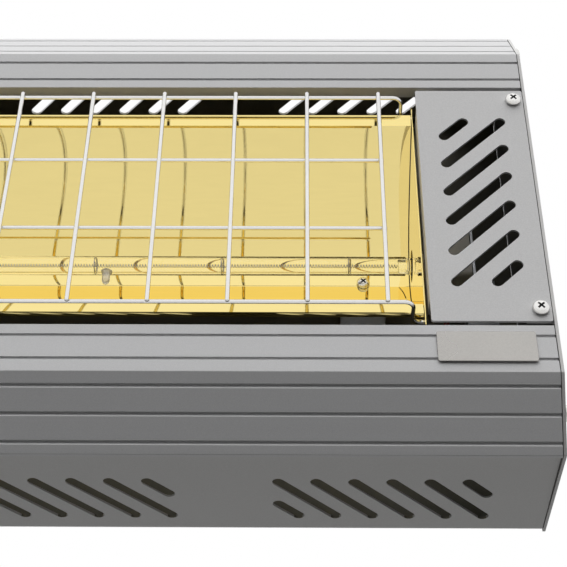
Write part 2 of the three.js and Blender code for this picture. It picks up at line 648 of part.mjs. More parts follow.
// A cheek closes each end of the trough, with a hole for the lamp and two for the guard's hooks.
function cheek() {
	const nose = CHEEK_HALF_HEIGHT * 0.45;
	const shape = outline([
		[CHEEK_FRONT, -CHEEK_HALF_HEIGHT], [CHEEK_FRONT + CHEEK_SHOULDER, -CHEEK_HALF_HEIGHT],
		[CHEEK_REAR, -nose], [CHEEK_REAR, nose],
		[CHEEK_FRONT + CHEEK_SHOULDER, CHEEK_HALF_HEIGHT], [CHEEK_FRONT, CHEEK_HALF_HEIGHT],
	]);
	const plate = alongX(shape, REFLECTOR_WALL);
	const hookHole = GUARD_RAIL_RADIUS + GUARD_HOOK_CLEARANCE;
	const hooks = [-1, 1].map((side) => rodX(hookHole, -2, 2, GUARD_LEG_REACH, side * GUARD_RAIL_HEIGHT, 12));
	return cut(plate, rodX(CAP_RADIUS + CHEEK_CLEARANCE, -2, 2, LAMP_SETBACK, 0), ...hooks);
}

// A hat-shaped bridge stands on the casing's back and carries the trough at its vertex.
function bridge() {
	const inner = BRIDGE_HALF_HEIGHT - BRIDGE_WALL;
	const floor = CASING_FLOOR - SEAT_GAP;
	const foot = BRIDGE_HALF_HEIGHT + BRIDGE_FOOT;
	const shape = outline([
		[BRIDGE_WEB, -BRIDGE_HALF_HEIGHT], [floor - BRIDGE_WALL, -BRIDGE_HALF_HEIGHT],
		[floor - BRIDGE_WALL, -foot], [floor, -foot], [floor, -inner],
		[BRIDGE_WEB + BRIDGE_WALL, -inner], [BRIDGE_WEB + BRIDGE_WALL, inner],
		[floor, inner], [floor, foot], [floor - BRIDGE_WALL, foot],
		[floor - BRIDGE_WALL, BRIDGE_HALF_HEIGHT], [BRIDGE_WEB, BRIDGE_HALF_HEIGHT],
	]);
	const hole = rodY(SCREW_HOLE, BRIDGE_WEB - 2, BRIDGE_WEB + 2 * BRIDGE_WALL, 0, 0, 12);
	return cut(alongX(shape, BRIDGE_WIDTH), hole);
}

for (const [side, sign] of SIDES) {
	place(head, `reflector_cheek_${side}`, cheek(), gold, [sign * (CHEEK_INNER + REFLECTOR_WALL / 2), 0, 0]);
	place(head, `reflector_bridge_${side}`, bridge(), zinc, [sign * BRIDGE_OFFSET, 0, 0]);
	place(head, `reflector_screw_${side}`, panScrew(REFLECTOR_SCREW_HEAD), steel,
		[sign * BRIDGE_OFFSET, VERTEX_DEPTH - SEAT_GAP, 0]);
}

// ---------------------------------------------------------------- lamp

// Quartz tube along x with the sealed-off stem at its front, slightly below the axis.
function lampTube() {
	const tip = new THREE.LatheGeometry([
		[0, 0], [TIP_OFF_RADIUS, 0], [TIP_OFF_RADIUS * 0.8, TIP_OFF_LENGTH * 0.6], [0, TIP_OFF_LENGTH],
	].map(([x, y]) => new THREE.Vector2(x, y)), 8);
	tip.translate(0, TUBE_RADIUS - TUBE_WALL / 2, 0).rotateX(-Math.PI * 0.75).translate(TIP_OFF_AT, 0, 0);
	const bore = rodX(TUBE_RADIUS - TUBE_WALL, -TUBE_HALF_LENGTH - 1, TUBE_HALF_LENGTH + 1);
	return join(cut(rodX(TUBE_RADIUS, -TUBE_HALF_LENGTH, TUBE_HALF_LENGTH), bore), tip);
}

// Coiled filament drawn as its envelope, with the discs that centre it in the tube.
function filament() {
	const half = FILAMENT_HALF_LENGTH;
	const points = [[0, -half], [FILAMENT_RADIUS, -half]];
	for (let count = -FILAMENT_SUPPORT_PAIRS; count <= FILAMENT_SUPPORT_PAIRS; count += 1) {
		const near = count * FILAMENT_SUPPORT_PITCH - FILAMENT_SUPPORT_WIDTH / 2;
		const far = near + FILAMENT_SUPPORT_WIDTH;
		points.push([FILAMENT_RADIUS, near], [FILAMENT_SUPPORT_RADIUS, near]);
		points.push([FILAMENT_SUPPORT_RADIUS, far], [FILAMENT_RADIUS, far]);
	}
	points.push([FILAMENT_RADIUS, half], [0, half]);
	return new THREE.LatheGeometry(points.map(([x, y]) => new THREE.Vector2(x, y)), 8).rotateZ(-Math.PI / 2);
}

// Flattened quartz seal for the right end: a plug in the tube and a flat tongue outside it.
function pinchSeal() {
	const plug = rodX(TUBE_RADIUS - TUBE_WALL - SEAT_GAP,
		TUBE_HALF_LENGTH - PINCH_PLUG, PINCH_START + 1, 0, 0, 12);
	const tongue = block([PINCH_START, PINCH_START + PINCH_LENGTH],
		[-PINCH_THICKNESS / 2, PINCH_THICKNESS / 2], [-PINCH_HEIGHT / 2, PINCH_HEIGHT / 2]);
	return join(tongue, plug);
}

function endCap() {
	const mouth = PINCH_START + PINCH_LENGTH + SEAT_GAP;
	const socket = block([CAP_START - 1, mouth],
		[-PINCH_THICKNESS / 2 - SEAT_GAP, PINCH_THICKNESS / 2 + SEAT_GAP],
		[-PINCH_HEIGHT / 2 - SEAT_GAP, PINCH_HEIGHT / 2 + SEAT_GAP]);
	return cut(rodX(CAP_RADIUS, CAP_START, CAP_START + CAP_LENGTH, 0, 0, 16), socket);
}

function lampHolder() {
	const body = alongX(roundedBox(HOLDER_DEPTH / 2, HOLDER_HEIGHT / 2, HOLDER_CORNER), HOLDER_LENGTH)
		.translate((HOLDER_START + HOLDER_END) / 2, 0, 0);
	const recess = rodX(CAP_RADIUS + SEAT_GAP * 1.5,
		HOLDER_START - 1, HOLDER_START + HOLDER_RECESS + SEAT_GAP, 0, 0, 16);
	return cut(body, recess);
}

// Angle bracket from the casing's back to the holder's outer face.
function holderBracket() {
	const face = HOLDER_END + SEAT_GAP;
	const floor = CASING_FLOOR - SEAT_GAP;
	const wall = HOLDER_BRACKET_WALL;
	const upright = block([face, face + wall],
		[LAMP_SETBACK - HOLDER_DEPTH / 2, floor], [-HOLDER_HEIGHT / 2, HOLDER_HEIGHT / 2]);
	const foot = block([face, face + HOLDER_BRACKET_FOOT],
		[floor - wall, floor], [-HOLDER_HEIGHT / 2, HOLDER_HEIGHT / 2]);
	return join(upright, foot);
}

place(head, 'lamp_tube', lampTube(), quartz, [0, LAMP_SETBACK, 0]);
place(head, 'lamp_filament', filament(), tungsten, [0, LAMP_SETBACK, 0]);
for (const [side, sign] of SIDES) {
	const turn = sign > 0 ? 0 : Math.PI;
	place(head, `pinch_seal_${side}`, pinchSeal(), quartz, [0, LAMP_SETBACK, 0]).rotation.z = turn;
	place(head, `lamp_cap_${side}`, endCap(), ceramic, [0, LAMP_SETBACK, 0]).rotation.z = turn;
	place(head, `lamp_holder_${side}`, lampHolder(), ceramic, [0, LAMP_SETBACK, 0]).rotation.z = turn;
	place(head, `holder_bracket_${side}`, holderBracket(), zinc).rotation.y = turn;
}

// ---------------------------------------------------------------- wire guard

const RAIL_Y = -GUARD_RAIL_STAND;
const WIRE_Y = RAIL_Y - GUARD_RAIL_RADIUS - GUARD_WELD_GAP - GUARD_WIRE_RADIUS;
const OUTER_WIRE_X = GUARD_WIRE_PAIRS * GUARD_PITCH;

// Outer rails turn back at their ends and hook outwards through the cheeks.
function hookedRail() {
	return bentWire([
		[-GUARD_HOOK_END, GUARD_LEG_REACH, 0], [-GUARD_LEG_AT, GUARD_LEG_REACH, 0],
		[-GUARD_LEG_AT, RAIL_Y, 0], [GUARD_LEG_AT, RAIL_Y, 0],
		[GUARD_LEG_AT, GUARD_LEG_REACH, 0], [GUARD_HOOK_END, GUARD_LEG_REACH, 0],
	], GUARD_RAIL_RADIUS, GUARD_BEND);
}

place(head, 'guard_rail_top', hookedRail(), steel, [0, 0, GUARD_RAIL_HEIGHT]);
place(head, 'guard_rail_bottom', hookedRail(), steel, [0, 0, -GUARD_RAIL_HEIGHT]);
const innerRailEnd = OUTER_WIRE_X + GUARD_OVERHANG;
for (const [name, sign] of [['guard_rail_upper', 1], ['guard_rail_lower', -1]]) {
	place(head, name, rodX(GUARD_RAIL_RADIUS, -innerRailEnd, innerRailEnd, 0, 0, WIRE_SIDES), steel,
		[0, RAIL_Y, (sign * GUARD_RAIL_HEIGHT) / 3]);
}
const wireLength = 2 * (GUARD_RAIL_HEIGHT + GUARD_OVERHANG);
for (let i = 0; i <= 2 * GUARD_WIRE_PAIRS; i += 1) {
	const wire = new THREE.CylinderGeometry(GUARD_WIRE_RADIUS, GUARD_WIRE_RADIUS, wireLength, WIRE_SIDES)
		.rotateX(Math.PI / 2);
	place(head, `guard_wire_${i + 1}`, wire, steel, [i * GUARD_PITCH - OUTER_WIRE_X, WIRE_Y, 0]);
}

// ---------------------------------------------------------------- badge and wiring

const badgeShape = roundedBox(BADGE_WIDTH / 2, BADGE_HEIGHT / 2, BADGE_CORNER);
place(head, 'badge_plate', facePlate(badgeShape, BADGE_THICKNESS), badgeMetal,
	[HALF_LENGTH - BADGE_FROM_END, -SEAT_GAP - BADGE_THICKNESS, -WINDOW_HALF_HEIGHT - BADGE_BELOW_WINDOW]);

// Ceramic terminal block with one pair of screws for each way.
function terminalBlock() {
	const shape = new THREE.Shape();
	const lobe = TERMINAL_PITCH / 2;
	shape.moveTo(-TERMINAL_LENGTH / 2, 0);
	shape.lineTo(TERMINAL_LENGTH / 2, 0);
	for (let way = TERMINAL_WAYS - 1; way >= 0; way -= 1) {
		const middle = (way - (TERMINAL_WAYS - 1) / 2) * TERMINAL_PITCH;
		shape.lineTo(middle + lobe, -TERMINAL_DEPTH * 0.6);
		shape.lineTo(middle + lobe * 0.7, -TERMINAL_DEPTH);
		shape.lineTo(middle - lobe * 0.7, -TERMINAL_DEPTH);
		shape.lineTo(middle - lobe, -TERMINAL_DEPTH * 0.6);
	}
	const body = extrude(shape, TERMINAL_HEIGHT).translate(0, 0, -TERMINAL_HEIGHT / 2);
	const screws = [];
	for (let way = 0; way < TERMINAL_WAYS; way += 1) {
		const x = (way - (TERMINAL_WAYS - 1) / 2) * TERMINAL_PITCH;
		for (const row of [-1, 1]) {
			screws.push(rodY(TERMINAL_SCREW, -TERMINAL_DEPTH - 1, -TERMINAL_DEPTH * 0.5,
				x, (row * TERMINAL_HEIGHT) / 4, 8));
		}
	}
	return cut(body, ...screws);
}

place(head, 'terminal_block', terminalBlock(), ceramic, [TERMINAL_X, CASING_FLOOR - SEAT_GAP, TERMINAL_Z]);

// Each lead leaves its lamp holder's back and runs behind the reflector to the block.
const LEAD_START = [HOLDER_START + HOLDER_LENGTH / 2, HOLDER_REAR + SEAT_GAP, -HOLDER_HEIGHT / 4];
const blockTop = TERMINAL_Z + TERMINAL_HEIGHT / 2 + SEAT_GAP;
const blockLeft = TERMINAL_X - TERMINAL_LENGTH / 2 - SEAT_GAP;
place(head, 'lamp_lead_right', bentWire([
	LEAD_START,
	[LEAD_START[0], LEAD_SETBACK, LEAD_START[2]],
	[LEAD_START[0], LEAD_SETBACK, blockTop],
], LEAD_RADIUS, LEAD_BEND), silicone);
place(head, 'lamp_lead_left', bentWire([
	[-LEAD_START[0], LEAD_START[1], LEAD_START[2]],
	[-LEAD_START[0], LEAD_SETBACK, LEAD_START[2]],
	[-LEAD_START[0], LEAD_SETBACK, TERMINAL_Z],
	[blockLeft, LEAD_SETBACK, TERMINAL_Z],
], LEAD_RADIUS, LEAD_BEND), silicone);

// Cable gland through the casing's back: nut inside, hexagon and nose outside.
function cableGland() {
	const inside = CASING_FLOOR - SEAT_GAP;
	const outside = HOUSING_DEPTH + SEAT_GAP;
	const noseStart = outside + GLAND_BODY_LENGTH;
	const bore = rodY(GLAND_BORE, inside - 2 * GLAND_NUT_LENGTH, noseStart + 2 * GLAND_NOSE_LENGTH);
	const nut = rodY(GLAND_NUT_RADIUS, inside - GLAND_NUT_LENGTH, inside, 0, 0, 6);
	const neck = rodY(GLAND_RADIUS, inside - 1, outside + 1);
	const body = rodY(GLAND_NUT_RADIUS, outside, noseStart, 0, 0, 6);
	const nose = rodY(GLAND_RADIUS * 0.9, noseStart - 1, noseStart + GLAND_NOSE_LENGTH);
	return cut(join(neck, nut, body, nose), bore);
}

place(head, 'cable_gland', cableGland(), blackPlastic, [GLAND_X, 0, GLAND_Z]);

// ---------------------------------------------------------------- tilt pivot and wall bracket

// Right-hand lug: a foot on the casing's back and an ear round the pivot.
function pivotLug() {
	const footFront = HOUSING_DEPTH + SEAT_GAP;
	const ear = new THREE.Shape();
	ear.moveTo(footFront, -LUG_HALF_HEIGHT);
	ear.absarc(PIVOT_DEPTH, 0, LUG_EAR_RADIUS, -Math.PI / 3, Math.PI / 3);
	ear.lineTo(footFront, LUG_HALF_HEIGHT);
	const plate = alongX(ear, LUG_WALL, EAR_STEPS).translate(LUG_OUTER - LUG_WALL / 2, 0, 0);
	const foot = block([LUG_OUTER - LUG_FOOT, LUG_OUTER - LUG_WALL / 2],
		[footFront, footFront + LUG_WALL], [-LUG_HALF_HEIGHT, LUG_HALF_HEIGHT]);
	const hole = rodX(PIVOT_BOLT_RADIUS + PIVOT_CLEARANCE,
		LUG_OUTER - 2 * LUG_WALL, LUG_OUTER + LUG_WALL, PIVOT_DEPTH);
	return cut(join(plate, foot), hole);
}

function pivotBolt() {
	const underHead = BRACKET_OUTER + SEAT_GAP;
	const tail = LUG_OUTER - LUG_WALL - SEAT_GAP - PIVOT_NUT_LENGTH - PIVOT_BOLT_TAIL;
	return join(rodX(PIVOT_HEX_RADIUS, underHead, underHead + PIVOT_HEAD_LENGTH, 0, 0, 6),
		rodX(PIVOT_BOLT_RADIUS, tail, underHead + 1));
}

function pivotNut() {
	const outer = LUG_OUTER - LUG_WALL - SEAT_GAP;
	return cut(rodX(PIVOT_HEX_RADIUS, outer - PIVOT_NUT_LENGTH, outer, 0, 0, 6),
		rodX(PIVOT_BOLT_RADIUS + SEAT_GAP, outer - 2 * PIVOT_NUT_LENGTH, outer + 1));
}

function frictionWasher() {
	return cut(rodX(WASHER_RADIUS, WASHER_OUTER - WASHER_THICKNESS, WASHER_OUTER),
		rodX(PIVOT_BOLT_RADIUS + PIVOT_CLEARANCE, WASHER_OUTER - 2 * WASHER_THICKNESS, WASHER_OUTER + 1));
}

for (const [side, sign] of SIDES) {
	const turn = sign > 0 ? 0 : Math.PI;
	place(head, `pivot_lug_${side}`, pivotLug(), bracketPaint).rotation.y = turn;
	const onPivot = [0, PIVOT_DEPTH, 0];
	place(head, `pivot_bolt_${side}`, pivotBolt(), zinc, onPivot).rotation.y = turn;
	place(head, `pivot_nut_${side}`, pivotNut(), zinc, onPivot).rotation.y = turn;
	place(head, `friction_washer_${side}`, frictionWasher(), blackPlastic, onPivot).rotation.y = turn;
}

// U-shaped wall bracket: a plate against the wall and two arms that narrow to the pivot.
function wallBracket() {
	const reach = -PIVOT_TO_WALL - BRACKET_EAR_RADIUS;
	const channel = extrude(outline([
		[-BRACKET_OUTER, reach], [-BRACKET_INNER_HALF_WIDTH, reach],
		[-BRACKET_INNER_HALF_WIDTH, -BRACKET_WALL], [BRACKET_INNER_HALF_WIDTH, -BRACKET_WALL],
		[BRACKET_INNER_HALF_WIDTH, reach], [BRACKET_OUTER, reach],
		[BRACKET_OUTER, 0], [-BRACKET_OUTER, 0],
	]), 2 * BRACKET_HALF_HEIGHT).translate(0, 0, -BRACKET_HALF_HEIGHT);
	const profile = new THREE.Shape();
	profile.moveTo(1, -BRACKET_HALF_HEIGHT);
	profile.lineTo(1, BRACKET_HALF_HEIGHT);
	profile.lineTo(-2 * BRACKET_WALL, BRACKET_HALF_HEIGHT);
	profile.absarc(-PIVOT_TO_WALL, 0, BRACKET_EAR_RADIUS, Math.PI * 0.4, Math.PI * 1.6);
	profile.lineTo(-2 * BRACKET_WALL, -BRACKET_HALF_HEIGHT);
	const body = common(channel, alongX(profile, 3 * BRACKET_OUTER, EAR_STEPS));
	const holes = [rodX(PIVOT_BOLT_RADIUS + PIVOT_CLEARANCE,
		-2 * BRACKET_OUTER, 2 * BRACKET_OUTER, -PIVOT_TO_WALL)];
	for (const x of [-WALL_HOLE_X, WALL_HOLE_X]) {
		for (const z of [-WALL_HOLE_Z, WALL_HOLE_Z]) {
			holes.push(rodY(WALL_HOLE_RADIUS, -2 * BRACKET_WALL, BRACKET_WALL, x, z, 16));
		}
	}
	return cut(body, ...holes);
}

place(heater, 'wall_bracket', wallBracket(), bracketPaint);

export default heater;
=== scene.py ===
# Looks of the wall-hung infrared heater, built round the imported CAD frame.
# Metres, in the row frame: +X along the housing, +Y into the wall, +Z up.
import json
import math

import bmesh
import bpy
from mathutils import Matrix, Vector


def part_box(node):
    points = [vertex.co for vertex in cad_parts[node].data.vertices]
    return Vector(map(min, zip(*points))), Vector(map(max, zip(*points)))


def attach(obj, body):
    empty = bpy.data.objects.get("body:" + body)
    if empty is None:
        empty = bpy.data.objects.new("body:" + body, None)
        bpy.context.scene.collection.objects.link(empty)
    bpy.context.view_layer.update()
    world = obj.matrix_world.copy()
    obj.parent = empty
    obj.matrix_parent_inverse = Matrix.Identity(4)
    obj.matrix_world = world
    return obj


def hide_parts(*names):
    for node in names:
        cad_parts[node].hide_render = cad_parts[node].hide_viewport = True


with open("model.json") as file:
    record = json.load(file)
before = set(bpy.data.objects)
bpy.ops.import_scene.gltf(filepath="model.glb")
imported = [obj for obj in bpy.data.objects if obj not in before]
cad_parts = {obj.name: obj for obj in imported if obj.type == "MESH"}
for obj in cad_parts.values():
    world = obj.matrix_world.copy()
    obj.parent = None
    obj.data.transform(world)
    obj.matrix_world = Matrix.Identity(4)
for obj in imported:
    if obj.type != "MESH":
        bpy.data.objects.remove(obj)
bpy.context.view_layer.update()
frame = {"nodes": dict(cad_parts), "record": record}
nodes = frame["nodes"]
MM = 0.001
SIDES = (("left", -1), ("right", 1))
LEVELS = ("upper", "lower")


# ------------------------------------------------------------------ materials


class Nodes:
    """A material's or world's node tree, with short calls to add and link nodes."""

    def __init__(self, owner, fresh=True):
        owner.use_nodes = True
        self.tree = owner.node_tree
        if fresh:
            self.tree.nodes.clear()

    def add(self, kind, **settings):
        node = self.tree.nodes.new("ShaderNode" + kind)
        for name, value in settings.items():
            if name in node.inputs.keys():
                self.feed(node.inputs[name], value)
            else:
                setattr(node, name, value)
        return node

    def feed(self, socket, value):
        if isinstance(value, bpy.types.NodeSocket):
            self.tree.links.new(value, socket)
        else:
            socket.default_value = value

    def math(self, operation, *values, clamp=False):
        node = self.tree.nodes.new("ShaderNodeMath")
        node.operation = operation
        node.use_clamp = clamp
        for socket, value in zip(node.inputs, values):
            self.feed(socket, value)
        return node.outputs[0]

    def ramp(self, factor, stops):
        """Grey levels by a factor. The stops are (position, level) pairs in order."""
        node = self.tree.nodes.new("ShaderNodeValToRGB")
        points = node.color_ramp.elements
        while len(points) < len(stops):
            points.new(0.5)
        for point, (at, level) in zip(points, stops):
            point.position = at
            point.color = (level, level, level, 1)
        self.feed(node.inputs[0], factor)
        return node.outputs[0]

    def noise(self, place, scale, detail=2.0, rough=0.5, stretch=None):
        if stretch:
            mapping = self.add("Mapping")
            self.feed(mapping.inputs["Vector"], place)
            mapping.inputs["Scale"].default_value = stretch
            place = mapping.outputs[0]
        node = self.add("TexNoise", Scale=scale, Detail=detail, Roughness=rough)
        self.feed(node.inputs["Vector"], place)
        return node.outputs["Fac"]

    def blend(self, factor, first, second):
        node = self.tree.nodes.new("ShaderNodeMix")
        node.data_type = "RGBA"
        for index, value in ((0, factor), (6, first), (7, second)):
            if isinstance(value, tuple) and len(value) == 3:
                value = (*value, 1)
            self.feed(node.inputs[index], value)
        return node.outputs[2]


def surface(name, color, rough, metal=0.0, speckle=0.0, grain=2500.0, bump=0.0, bump_depth=0.05,
            patches=0.04, rough_patches=0.05, stretch=None, **principled):
    """A Principled material with a fine grain, broad patches of tone and a bump from the same grain."""
    material = bpy.data.materials.new(name)
    n = Nodes(material)
    place = n.add("TexCoord").outputs["Object"]
    fine = n.noise(place, grain, 2.0, 0.6, stretch)
    broad = n.noise(place, 22.0, 3.0, 0.55)
    uneven = n.math("MULTIPLY", n.math("SUBTRACT", broad, 0.5), 2 * rough_patches)
    roughness = n.math("ADD", uneven, rough, clamp=True)
    shader = n.add("BsdfPrincipled")
    n.feed(shader.inputs["Roughness"], roughness)
    if speckle or patches:
        tone = n.math("ADD", n.math("MULTIPLY", n.math("SUBTRACT", fine, 0.5), 2 * speckle),
                      n.math("MULTIPLY", n.math("SUBTRACT", broad, 0.5), 2 * patches))
        scaled = n.add("VectorMath", operation="SCALE")
        scaled.inputs[0].default_value = color
        n.feed(scaled.inputs["Scale"], n.math("ADD", tone, 1.0))
        n.feed(shader.inputs["Base Color"], scaled.outputs[0])
    else:
        shader.inputs["Base Color"].default_value = (*color, 1)
    shader.inputs["Metallic"].default_value = metal
    for key, value in principled.items():
        shader.inputs[key.replace("_", " ")].default_value = value
    if bump:
        normal = n.add("Bump", Strength=bump, Distance=bump_depth * MM)
        n.feed(normal.inputs["Height"], fine)
        n.feed(shader.inputs["Normal"], normal.outputs[0])
    output = n.add("OutputMaterial")
    n.feed(output.inputs["Surface"], shader.outputs[0])
    return material


PAINTED = {"bump_depth": 0.03, "patches": 0.02, "rough_patches": 0.02}
SATIN = {**PAINTED, "Specular_IOR_Level": 0.3}
MATERIALS = {
    "paint": surface("rail_paint", (0.60, 0.60, 0.605), 0.42, speckle=0.12, grain=1900, bump=0.15, **SATIN),
    "casing_paint": surface("casing_paint", (0.60, 0.595, 0.585), 0.42, speckle=0.10, grain=1700,
                            bump=0.12, **SATIN),
    "cover_paint": surface("cover_paint", (0.60, 0.597, 0.597), 0.42, speckle=0.14, grain=1500,
                           bump=0.14, **SATIN),
    "bracket_paint": surface("bracket_paint", (0.42, 0.42, 0.425), 0.38, 0.8, speckle=0.07, grain=1500,
                             bump=0.3, **PAINTED),
    "gold_reflector": surface("gold_mirror", (0.945, 0.775, 0.32), 0.02, 1.0, speckle=0.015, grain=900,
                              bump=0.02, bump_depth=0.02, patches=0.02, rough_patches=0.012,
                              stretch=(0.05, 1, 1)),
    "guard_steel": surface("guard_wire_steel", (0.80, 0.795, 0.785), 0.10, 1.0, speckle=0.05, grain=1500,
                           bump=0.1, bump_depth=0.03),
    "bright_steel": surface("screw_steel", (0.78, 0.77, 0.75), 0.22, 1.0, speckle=0.05, grain=1800,
                            bump=0.15, bump_depth=0.03),
    "zinc_steel": surface("zinc_plate", (0.66, 0.67, 0.69), 0.33, 1.0, speckle=0.10, grain=500, bump=0.1),
    "quartz": surface("quartz_glass", (0.99, 0.985, 0.97), 0.01, patches=0.0, rough_patches=0.005,
                      Transmission_Weight=1.0, IOR=1.33),
    "tungsten": surface("tungsten_wire", (0.44, 0.42, 0.40), 0.36, 1.0, speckle=0.12, grain=1500, bump=0.2),
    "ceramic": surface("steatite", (0.80, 0.76, 0.67), 0.62, speckle=0.05, grain=1600, bump=0.3),
    "badge_metal": surface("pewter_badge", (0.40, 0.388, 0.37), 0.28, 1.0, speckle=0.10, grain=1400,
                           bump=0.25),
    "black_plastic": surface("black_nylon", (0.020, 0.020, 0.022), 0.5, speckle=0.2, grain=1500, bump=0.3),
    "silicone": surface("silicone_sleeve", (0.33, 0.055, 0.035), 0.55, speckle=0.12, grain=1800, bump=0.3),
}
# A near-black material for the inward faces of the end plates and covers: painted shade, standing in for
# the dark inside of the housing.
SHADE_INSIDE = surface("painted_shade_inside", (0.12, 0.118, 0.112), 0.5, 0.3, speckle=0.15, grain=900, bump=0.2)
# A dark, slightly yellow grey for the casing's inward faces: painted shade for the dark inside of the
# housing.
CASING_SHADE_INSIDE = surface("painted_shade_casing_inside", (0.19, 0.18, 0.145), 0.42, 0.5, speckle=0.12, grain=700,
                        bump=0.15)
# A near-black material for the walls of the screws' cross recesses: painted shade in the recess.
RECESS_SHADE = surface("painted_shade_screw_recess", (0.07, 0.07, 0.068), 0.5, 0.8, speckle=0.1, grain=1500, bump=0.2)
STEM = surface("quartz_stem", (0.97, 0.95, 0.93), 0.12, speckle=0.04, grain=900, patches=0.02,
               rough_patches=0.03, Transmission_Weight=0.55, IOR=1.458)
SLOT_OF = {part["node"]: part["material_slot"] for part in frame["record"]["subparts"]}


# ------------------------------------------------------------------ mesh helpers


def body_of(node):
    """The body that a node moves with."""
    return "bracket" if node == "wall_bracket" else "head"


def keep(obj, *replaced, slot_name=None, body="head", sharp=35.0, weighted=False):
    """Finishes a new piece: smooth shading with sharp edges, material, body and the nodes it stands for."""
    mesh = obj.data
    mesh.polygons.foreach_set("use_smooth", [True] * len(mesh.polygons))
    mesh.set_sharp_from_angle(angle=math.radians(sharp))
    if weighted:
        modifier = obj.modifiers.new("flat faces stay flat", "WEIGHTED_NORMAL")
        modifier.keep_sharp = True
        modifier.weight = 100
    slot_name = slot_name or SLOT_OF[replaced[0]]
    mesh.materials.clear()
    mesh.materials.append(MATERIALS[slot_name])
    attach(obj, body)
    if replaced:
        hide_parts(*replaced)
    return obj


def to_object(name, bm):
    """Turns a bmesh into an object of the scene and frees it."""
    bmesh.ops.recalc_face_normals(bm, faces=bm.faces)
    mesh = bpy.data.meshes.new(name)
    bm.to_mesh(mesh)
    bm.free()
    obj = bpy.data.objects.new(name, mesh)
    bpy.context.scene.collection.objects.link(obj)
    return obj


def bevel_sharp(bm, width, segments=2):
    """Eases the edges that turn by more than 25 degrees, by a width in millimetres."""
    sharp = math.radians(25.0)
    edges = [e for e in bm.edges if len(e.link_faces) == 2 and e.calc_face_angle(0) > sharp]
    bmesh.ops.bevel(bm, geom=edges, offset=width * MM, offset_type="OFFSET", segments=segments, profile=0.5,
                    affect="EDGES", clamp_overlap=True)


def softened(node, width=0.25, segments=2):
    """The CAD node's own shape with its edges eased."""
    bm = bmesh.new()
    bm.from_mesh(nodes[node].data)
    bmesh.ops.remove_doubles(bm, verts=bm.verts, dist=0.002 * MM)
    bmesh.ops.dissolve_limit(bm, angle_limit=math.radians(1.0), verts=bm.verts, edges=bm.edges)
    bevel_sharp(bm, width, segments)
    return keep(to_object(node + "_piece", bm), node, body=body_of(node), sharp=50, weighted=True)


def lined(obj, material, inner):
    """Gives the faces for which inner(centre, normal) holds a second material."""
    obj.data.materials.append(material)
    for face in obj.data.polygons:
        if inner(face.center, face.normal):
            face.material_index = 1
    return obj


def swept(points, radius, sides=20):
    """A round wire along points, as a bmesh, with domed ends."""
    bm = bmesh.new()
    points = [Vector(p) for p in points]
    first_way = (points[1] - points[0]).normalized() * radius
    last_way = (points[-2] - points[-1]).normalized() * radius
    dome = ((0.0, 0.40), (0.10, 0.68), (0.32, 0.90), (0.70, 1.0))
    stations = [(points[0] + first_way * along, scale) for along, scale in dome]
    stations += [(point, 1.0) for point in points[1:-1]]
    stations += [(points[-1] + last_way * along, scale) for along, scale in reversed(dome)]
    rings = []
    last = len(stations) - 1
    up = None
    for i, (point, scale) in enumerate(stations):
        tangent = (stations[min(i + 1, last)][0] - stations[max(i - 1, 0)][0]).normalized()
        if up is None:
            up = tangent.orthogonal().normalized()
        up = (up - tangent * up.dot(tangent)).normalized()
        across = tangent.cross(up)
        rings.append([bm.verts.new(point + (up * math.cos(a) + across * math.sin(a)) * radius * scale)
                      for a in (2 * math.pi * k / sides for k in range(sides))])
    for one, two in zip(rings, rings[1:]):
        for k in range(sides):
            bm.faces.new((one[k], one[(k + 1) % sides], two[(k + 1) % sides], two[k]))
    for ring in (rings[0], rings[-1]):
        bm.faces.new(ring)
    return bm


def rounded_path(corners, bend, steps=8):
    """The points of straight runs joined by round bends."""
    corners = [Vector(c) for c in corners]
    points = [corners[0]]
    for before, corner, after in zip(corners, corners[1:], corners[2:]):
        arrive = (corner - before).normalized()
        leave = (after - corner).normalized()
        turn = arrive.angle(leave)
        start = corner - arrive * bend * math.tan(turn / 2)
        to_centre = (leave - arrive * leave.dot(arrive)).normalized()
        centre = start + to_centre * bend
        for i in range(steps + 1):
            a = turn * i / steps
            points.append(centre - to_centre * bend * math.cos(a) + arrive * bend * math.sin(a))
    points.append(corners[-1])
    return points


def lathe(profile, place, axis, sides=48):
    """Revolves (radius, along) pairs in millimetres round an axis from a place in metres."""
    bm = bmesh.new()
    turn = Vector((0, 0, 1)).rotation_difference(Vector(axis)).to_matrix().to_4x4()
    frame_matrix = Matrix.Translation(Vector(place)) @ turn
    rings = []
    for radius, along in profile:
        if radius < 1e-6:
            rings.append([bm.verts.new(frame_matrix @ Vector((0, 0, along * MM)))])
        else:
            rings.append([bm.verts.new(frame_matrix @ Vector((
                radius * MM * math.cos(2 * math.pi * k / sides),
                radius * MM * math.sin(2 * math.pi * k / sides), along * MM))) for k in range(sides)])
    for first, second in zip(rings, rings[1:]):
        for k in range(sides):
            j = (k + 1) % sides
            if len(first) == 1 and len(second) == 1:
                continue
            if len(first) == 1:
                bm.faces.new((first[0], second[j], second[k]))
            elif len(second) == 1:
                bm.faces.new((first[k], first[j], second[0]))
            else:
                bm.faces.new((first[k], first[j], second[j], second[k]))
    return bm


def extruded_x(outline, x0, x1):
    """A closed (y, z) outline in metres, run along x."""
    bm = bmesh.new()
    ends = [[bm.verts.new((x, y, z)) for y, z in outline] for x in (x0, x1)]
    count = len(outline)
    for k in range(count):
        j = (k + 1) % count
        bm.faces.new((ends[0][k], ends[0][j], ends[1][j], ends[1][k]))
    bm.faces.new(ends[0])
    bm.faces.new(list(reversed(ends[1])))
    return bm


def subtract(obj, cutter):
    """Cuts one object from another and removes the cutter."""
    modifier = obj.modifiers.new("cut", "BOOLEAN")
    modifier.operation = "DIFFERENCE"
    modifier.solver = "EXACT"
    modifier.object = cutter
    bpy.context.view_layer.update()
    result = bpy.data.meshes.new_from_object(obj.evaluated_get(bpy.context.evaluated_depsgraph_get()))
    obj.modifiers.clear()
    obj.data = result
    bpy.data.objects.remove(cutter)


# ------------------------------------------------------------------ camera, world and floor

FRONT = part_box("end_cover_right")[0].y  # the housing's front face

